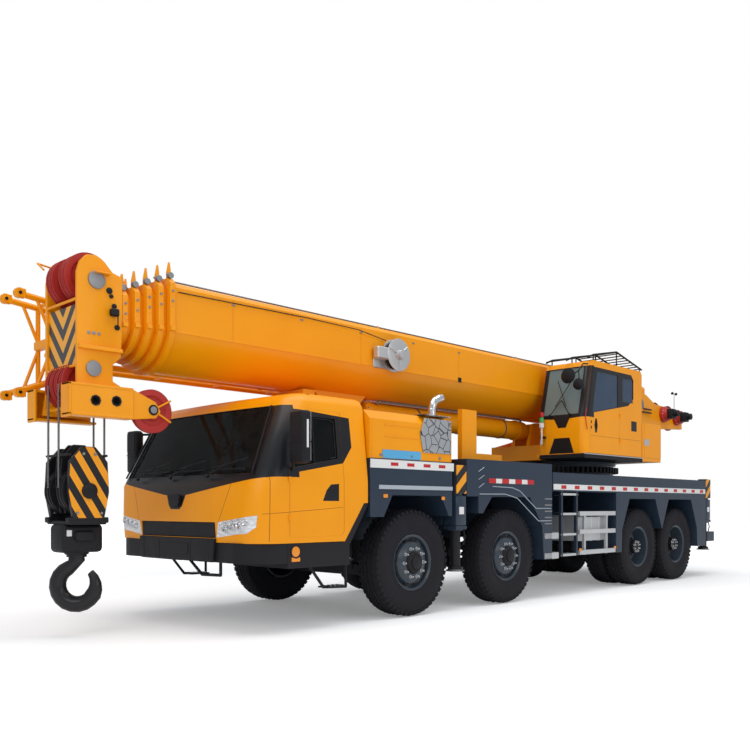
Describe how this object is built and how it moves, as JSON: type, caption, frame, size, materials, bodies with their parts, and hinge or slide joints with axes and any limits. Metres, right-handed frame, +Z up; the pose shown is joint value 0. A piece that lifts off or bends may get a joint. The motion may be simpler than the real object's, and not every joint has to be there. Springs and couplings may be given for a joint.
{
  "type": "truck-mounted telescopic mobile crane",
  "caption": "Truck crane with steered front axles, twin rear wheels, outriggers, slewing cab and luffing telescopic boom with folded lattice jib and hook block.",
  "frame": {"origin": "on the ground under the middle of the bounding box", "axes": "+X towards the carrier cab and boom head, +Y to the driver's left, +Z up"},
  "size_m": [12.5, 3.3, 3.75],
  "materials": {
    "orange_paint": "gloss",
    "navy_paint": "gloss",
    "black_paint": "satin",
    "black_plastic": "matte",
    "red_paint": "satin",
    "silver": "satin",
    "steel": "satin",
    "cast": "rough",
    "chrome": "polished",
    "tyre": "matte",
    "glass": "polished",
    "lens": "polished",
    "seat": "matte"
  },
  "bodies": {
    "carrier": {"chassis_frame": "navy_paint", "axles": "cast", "carrier_cab": "orange_paint", "cab_glass": "glass", "front_bumper": "black_plastic", "lamps": "lens", "cab_interior": "seat", "engine_cover": "orange_paint", "engine": "cast", "front_fenders": "navy_paint", "rear_deck": "navy_paint", "side_equipment": "silver", "exhaust": "chrome", "boom_rest": "orange_paint", "slew_ring": "navy_paint"},
    "knuckle_1_left": {"knuckle_1_left": "cast"},
    "knuckle_1_right": {"knuckle_1_right": "cast"},
    "knuckle_2_left": {"knuckle_2_left": "cast"},
    "knuckle_2_right": {"knuckle_2_right": "cast"},
    "front_wheel_1_left": {"front_wheel_1_left": "tyre"},
    "front_wheel_1_right": {"front_wheel_1_right": "tyre"},
    "front_wheel_2_left": {"front_wheel_2_left": "tyre"},
    "front_wheel_2_right": {"front_wheel_2_right": "tyre"},
    "rear_wheel_1_left": {"rear_wheel_1_left": "tyre"},
    "rear_wheel_1_right": {"rear_wheel_1_right": "tyre"},
    "rear_wheel_2_left": {"rear_wheel_2_left": "tyre"},
    "rear_wheel_2_right": {"rear_wheel_2_right": "tyre"},
    "cab_door_left": {"cab_door_left": "orange_paint", "mirror_left": "black_plastic"},
    "cab_door_right": {"cab_door_right": "orange_paint", "mirror_right": "black_plastic"},
    "outrigger_beam_front_left": {"outrigger_beam_front_left": "navy_paint"},
    "jack_front_left": {"jack_front_left": "steel"},
    "outrigger_beam_front_right": {"outrigger_beam_front_right": "navy_paint"},
    "jack_front_right": {"jack_front_right": "steel"},
    "outrigger_beam_rear_left": {"outrigger_beam_rear_left": "navy_paint"},
    "jack_rear_left": {"jack_rear_left": "steel"},
    "outrigger_beam_rear_right": {"outrigger_beam_rear_right": "navy_paint"},
    "jack_rear_right": {"jack_rear_right": "steel"},
    "upper_works": {"turntable": "orange_paint", "winches": "red_paint", "operator_cab": "orange_paint", "operator_glass": "glass", "operator_seat": "seat"},
    "operator_door": {"operator_door": "orange_paint"},
    "boom_base": {"boom_base": "orange_paint", "base_collar": "orange_paint", "cylinder_bracket": "orange_paint", "jib": "orange_paint"},
    "boom_section_2": {"boom_section_2": "orange_paint"},
    "boom_section_3": {"boom_section_3": "orange_paint"},
    "boom_section_4": {"boom_section_4": "orange_paint"},
    "boom_section_5": {"boom_section_5": "orange_paint"},
    "boom_section_6": {"boom_section_6": "orange_paint", "head_sheaves": "red_paint"},
    "luffing_cylinder": {"luffing_cylinder": "orange_paint"},
    "luffing_rod": {"luffing_rod": "chrome"},
    "hoist_ropes": {"hoist_ropes": "steel"},
    "hook_block": {"hook_block": "black_paint"},
    "hook": {"hook": "black_paint"}
  },
  "joints": [
    {"name": "steer_1_left", "type": "hinge", "parent": "carrier", "child": "knuckle_1_left", "pos_m": [2.5, 1.06, 0.62], "axis": [0, 0, 1], "range_deg": [-32, 32]},
    {"name": "front_wheel_1_left_spin", "type": "hinge", "parent": "knuckle_1_left", "child": "front_wheel_1_left", "pos_m": [2.5, 1.182, 0.62], "axis": [0, 1, 0], "continuous": true},
    {"name": "steer_1_right", "type": "hinge", "parent": "carrier", "child": "knuckle_1_right", "pos_m": [2.5, -1.06, 0.62], "axis": [0, 0, 1], "range_deg": [-32, 32]},
    {"name": "front_wheel_1_right_spin", "type": "hinge", "parent": "knuckle_1_right", "child": "front_wheel_1_right", "pos_m": [2.5, -1.182, 0.62], "axis": [0, 1, 0], "continuous": true},
    {"name": "steer_2_left", "type": "hinge", "parent": "carrier", "child": "knuckle_2_left", "pos_m": [0.66, 1.06, 0.62], "axis": [0, 0, 1], "range_deg": [-22.4, 22.4]},
    {"name": "front_wheel_2_left_spin", "type": "hinge", "parent": "knuckle_2_left", "child": "front_wheel_2_left", "pos_m": [0.66, 1.182, 0.62], "axis": [0, 1, 0], "continuous": true},
    {"name": "steer_2_right", "type": "hinge", "parent": "carrier", "child": "knuckle_2_right", "pos_m": [0.66, -1.06, 0.62], "axis": [0, 0, 1], "range_deg": [-22.4, 22.4]},
    {"name": "front_wheel_2_right_spin", "type": "hinge", "parent": "knuckle_2_right", "child": "front_wheel_2_right", "pos_m": [0.66, -1.182, 0.62], "axis": [0, 1, 0], "continuous": true},
    {"name": "rear_wheel_1_left_spin", "type": "hinge", "parent": "carrier", "child": "rear_wheel_1_left", "pos_m": [-2.97, 1, 0.62], "axis": [0, 1, 0], "continuous": true},
    {"name": "rear_wheel_1_right_spin", "type": "hinge", "parent": "carrier", "child": "rear_wheel_1_right", "pos_m": [-2.97, -1, 0.62], "axis": [0, 1, 0], "continuous": true},
    {"name": "rear_wheel_2_left_spin", "type": "hinge", "parent": "carrier", "child": "rear_wheel_2_left", "pos_m": [-4.34, 1, 0.62], "axis": [0, 1, 0], "continuous": true},
    {"name": "rear_wheel_2_right_spin", "type": "hinge", "parent": "carrier", "child": "rear_wheel_2_right", "pos_m": [-4.34, -1, 0.62], "axis": [0, 1, 0], "continuous": true},
    {"name": "cab_door_left_hinge", "type": "hinge", "parent": "carrier", "child": "cab_door_left", "pos_m": [4.377, 1.397, 1.6], "axis": [0, 0, -1], "range_deg": [0, 70]},
    {"name": "cab_door_right_hinge", "type": "hinge", "parent": "carrier", "child": "cab_door_right", "pos_m": [4.377, -1.397, 1.6], "axis": [0, 0, 1], "range_deg": [0, 70]},
    {"name": "outrigger_beam_front_left_slide", "type": "slide", "parent": "carrier", "child": "outrigger_beam_front_left", "axis": [0, 1, 0], "range_m": [0, 2]},
    {"name": "jack_front_left_slide", "type": "slide", "parent": "outrigger_beam_front_left", "child": "jack_front_left", "axis": [0, 0, -1], "range_m": [0, 0.6]},
    {"name": "outrigger_beam_front_right_slide", "type": "slide", "parent": "carrier", "child": "outrigger_beam_front_right", "axis": [0, -1, 0], "range_m": [0, 2]},
    {"name": "jack_front_right_slide", "type": "slide", "parent": "outrigger_beam_front_right", "child": "jack_front_right", "axis": [0, 0, -1], "range_m": [0, 0.6]},
    {"name": "outrigger_beam_rear_left_slide", "type": "slide", "parent": "carrier", "child": "outrigger_beam_rear_left", "axis": [0, 1, 0], "range_m": [0, 2]},
    {"name": "jack_rear_left_slide", "type": "slide", "parent": "outrigger_beam_rear_left", "child": "jack_rear_left", "axis": [0, 0, -1], "range_m": [0, 0.6]},
    {"name": "outrigger_beam_rear_right_slide", "type": "slide", "parent": "carrier", "child": "outrigger_beam_rear_right", "axis": [0, -1, 0], "range_m": [0, 2]},
    {"name": "jack_rear_right_slide", "type": "slide", "parent": "outrigger_beam_rear_right", "child": "jack_rear_right", "axis": [0, 0, -1], "range_m": [0, 0.6]},
    {"name": "slew", "type": "hinge", "parent": "carrier", "child": "upper_works", "pos_m": [-2.7, 0, 2], "axis": [0, 0, 1], "continuous": true},
    {"name": "operator_door_hinge", "type": "hinge", "parent": "upper_works", "child": "operator_door", "pos_m": [-2.247, 1.392, 2.7], "axis": [0, 0, 1], "range_deg": [0, 90]},
    {"name": "luff", "type": "hinge", "parent": "upper_works", "child": "boom_base", "pos_m": [-4.5, 0, 3.05], "axis": [0, -1, 0], "range_deg": [0, 80]},
    {"name": "telescope_1", "type": "slide", "parent": "boom_base", "child": "boom_section_2", "axis": [1, 0, 0], "range_m": [0, 7.3]},
    {"name": "telescope_2", "type": "slide", "parent": "boom_section_2", "child": "boom_section_3", "axis": [1, 0, 0], "range_m": [0, 7.3]},
    {"name": "telescope_3", "type": "slide", "parent": "boom_section_3", "child": "boom_section_4", "axis": [1, 0, 0], "range_m": [0, 7.3]},
    {"name": "telescope_4", "type": "slide", "parent": "boom_section_4", "child": "boom_section_5", "axis": [1, 0, 0], "range_m": [0, 7.3]},
    {"name": "telescope_5", "type": "slide", "parent": "boom_section_5", "child": "boom_section_6", "axis": [1, 0, 0], "range_m": [0, 7.3]},
    {"name": "luffing_cylinder_pivot", "type": "hinge", "parent": "upper_works", "child": "luffing_cylinder", "pos_m": [-1.8, 0, 2.48], "axis": [0, -1, 0], "range_deg": [0, 97.5]},
    {"name": "luffing_rod_slide", "type": "slide", "parent": "luffing_cylinder", "child": "luffing_rod", "axis": [1, 0, 0], "range_m": [0, 3.15]},
    {"name": "rope_swing", "type": "hinge", "parent": "boom_section_6", "child": "hoist_ropes", "pos_m": [5.9, 0, 2.44], "axis": [0, -1, 0], "range_deg": [-80, 0]},
    {"name": "hoist", "type": "slide", "parent": "hoist_ropes", "child": "hook_block", "axis": [0, 0, -1], "range_m": [-0.2, 42]},
    {"name": "hook_swivel", "type": "hinge", "parent": "hook_block", "child": "hook", "pos_m": [5.9, 0, 0.8], "axis": [0, 0, 1], "continuous": true}
  ],
  "couplings": [
    {"joint": "steer_1_right", "follows": "steer_1_left", "ratio": 1},
    {"joint": "steer_2_left", "follows": "steer_1_left", "ratio": 0.7},
    {"joint": "steer_2_right", "follows": "steer_1_left", "ratio": 0.7},
    {"joint": "telescope_2", "follows": "telescope_1", "ratio": 1},
    {"joint": "telescope_3", "follows": "telescope_1", "ratio": 1},
    {"joint": "telescope_4", "follows": "telescope_1", "ratio": 1},
    {"joint": "telescope_5", "follows": "telescope_1", "ratio": 1},
    {"joint": "luffing_cylinder_pivot", "follows": "luff", "ratio": 1.2143},
    {"joint": "luffing_rod_slide", "follows": "luff", "m_per_rad": 2.2362},
    {"joint": "rope_swing", "follows": "luff", "ratio": -1}
  ]
}
